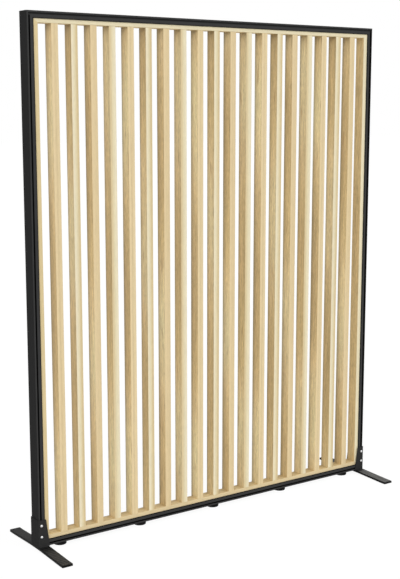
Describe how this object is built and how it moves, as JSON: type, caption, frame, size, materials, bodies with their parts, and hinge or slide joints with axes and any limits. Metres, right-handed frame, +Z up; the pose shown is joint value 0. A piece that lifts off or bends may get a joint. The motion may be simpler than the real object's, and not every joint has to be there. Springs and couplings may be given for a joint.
{
  "type": "room divider",
  "caption": "Free-standing room divider: a row of upright timber slats in a mitred black metal frame, on two cranked foot bars and round levelling glides.",
  "frame": {"origin": "on the floor, under the middle of the screen", "axes": "+X to the right along the screen seen from the front, +Y to the back, +Z up; the front, with the foot screws that the picture shows, faces -Y"},
  "size_m": [1.506, 0.402, 1.8125],
  "materials": {
    "frame_metal": "matt black powder coat on an aluminium extrusion",
    "foot_metal": "matt black textured paint on steel",
    "key_metal": "bare cast aluminium, hidden in the corners",
    "liner_timber": "clear matt lacquer on light softwood",
    "slat_timber": "clear matt lacquer on light softwood",
    "tongue_timber": "bare hardwood, hidden in the mitres",
    "zinc_steel": "zinc-plated steel",
    "bright_steel": "bright stainless screw heads",
    "glide_plastic": "black moulded plastic"
  },
  "bodies": {
    "frame": {"stile_left": "frame_metal", "stile_right": "frame_metal", "rail_top": "frame_metal", "rail_bottom": "frame_metal", "corner_key_bottom_left": "key_metal", "corner_key_bottom_right": "key_metal", "corner_key_top_left": "key_metal", "corner_key_top_right": "key_metal", "liner_bottom": "liner_timber", "liner_top": "liner_timber", "liner_left": "liner_timber", "liner_right": "liner_timber", "key_screws": "zinc_steel", "mitre_tongues": "tongue_timber", "slat_01": "slat_timber", "slat_02": "slat_timber", "slat_03": "slat_timber", "slat_04": "slat_timber", "slat_05": "slat_timber", "slat_06": "slat_timber", "slat_07": "slat_timber", "slat_08": "slat_timber", "slat_09": "slat_timber", "slat_10": "slat_timber", "slat_11": "slat_timber", "slat_12": "slat_timber", "slat_13": "slat_timber", "slat_14": "slat_timber", "slat_15": "slat_timber", "slat_16": "slat_timber", "slat_17": "slat_timber", "slat_18": "slat_timber", "slat_19": "slat_timber", "slat_screws_bottom": "zinc_steel", "slat_screws_top": "zinc_steel", "foot_bar_left": "foot_metal", "foot_shoe_left": "foot_metal", "foot_welds_left": "foot_metal", "foot_screws_left": "bright_steel", "foot_nuts_left": "zinc_steel", "foot_bar_right": "foot_metal", "foot_shoe_right": "foot_metal", "foot_welds_right": "foot_metal", "foot_screws_right": "bright_steel", "foot_nuts_right": "zinc_steel", "glide_inserts": "zinc_steel"},
    "glide_1_base": {"glide_base_1": "glide_plastic"},
    "glide_1_stem": {"glide_stem_1": "zinc_steel"},
    "glide_2_base": {"glide_base_2": "glide_plastic"},
    "glide_2_stem": {"glide_stem_2": "zinc_steel"},
    "glide_3_base": {"glide_base_3": "glide_plastic"},
    "glide_3_stem": {"glide_stem_3": "zinc_steel"},
    "glide_4_base": {"glide_base_4": "glide_plastic"},
    "glide_4_stem": {"glide_stem_4": "zinc_steel"},
    "glide_5_base": {"glide_base_5": "glide_plastic"},
    "glide_5_stem": {"glide_stem_5": "zinc_steel"}
  },
  "joints": [
    {"name": "glide_1_height", "type": "slide", "parent": "frame", "child": "glide_1_base", "axis": [0, 0, 1], "range_m": [-0.008, 0.0025]},
    {"name": "glide_1_turn", "type": "hinge", "parent": "glide_1_base", "child": "glide_1_stem", "pos_m": [-0.656, 0, 0], "axis": [0, 0, 1], "range_deg": [-2303, 719]},
    {"name": "glide_2_height", "type": "slide", "parent": "frame", "child": "glide_2_base", "axis": [0, 0, 1], "range_m": [-0.008, 0.0025]},
    {"name": "glide_2_turn", "type": "hinge", "parent": "glide_2_base", "child": "glide_2_stem", "pos_m": [-0.328, 0, 0], "axis": [0, 0, 1], "range_deg": [-2303, 719]},
    {"name": "glide_3_height", "type": "slide", "parent": "frame", "child": "glide_3_base", "axis": [0, 0, 1], "range_m": [-0.008, 0.0025]},
    {"name": "glide_3_turn", "type": "hinge", "parent": "glide_3_base", "child": "glide_3_stem", "pos_m": [0, 0, 0], "axis": [0, 0, 1], "range_deg": [-2303, 719]},
    {"name": "glide_4_height", "type": "slide", "parent": "frame", "child": "glide_4_base", "axis": [0, 0, 1], "range_m": [-0.008, 0.0025]},
    {"name": "glide_4_turn", "type": "hinge", "parent": "glide_4_base", "child": "glide_4_stem", "pos_m": [0.328, 0, 0], "axis": [0, 0, 1], "range_deg": [-2303, 719]},
    {"name": "glide_5_height", "type": "slide", "parent": "frame", "child": "glide_5_base", "axis": [0, 0, 1], "range_m": [-0.008, 0.0025]},
    {"name": "glide_5_turn", "type": "hinge", "parent": "glide_5_base", "child": "glide_5_stem", "pos_m": [0.656, 0, 0], "axis": [0, 0, 1], "range_deg": [-2303, 719]}
  ],
  "couplings": [
    {"joint": "glide_1_height", "follows": "glide_1_turn", "m_per_rad": 0.00019894},
    {"joint": "glide_2_height", "follows": "glide_2_turn", "m_per_rad": 0.00019894},
    {"joint": "glide_3_height", "follows": "glide_3_turn", "m_per_rad": 0.00019894},
    {"joint": "glide_4_height", "follows": "glide_4_turn", "m_per_rad": 0.00019894},
    {"joint": "glide_5_height", "follows": "glide_5_turn", "m_per_rad": 0.00019894}
  ]
}
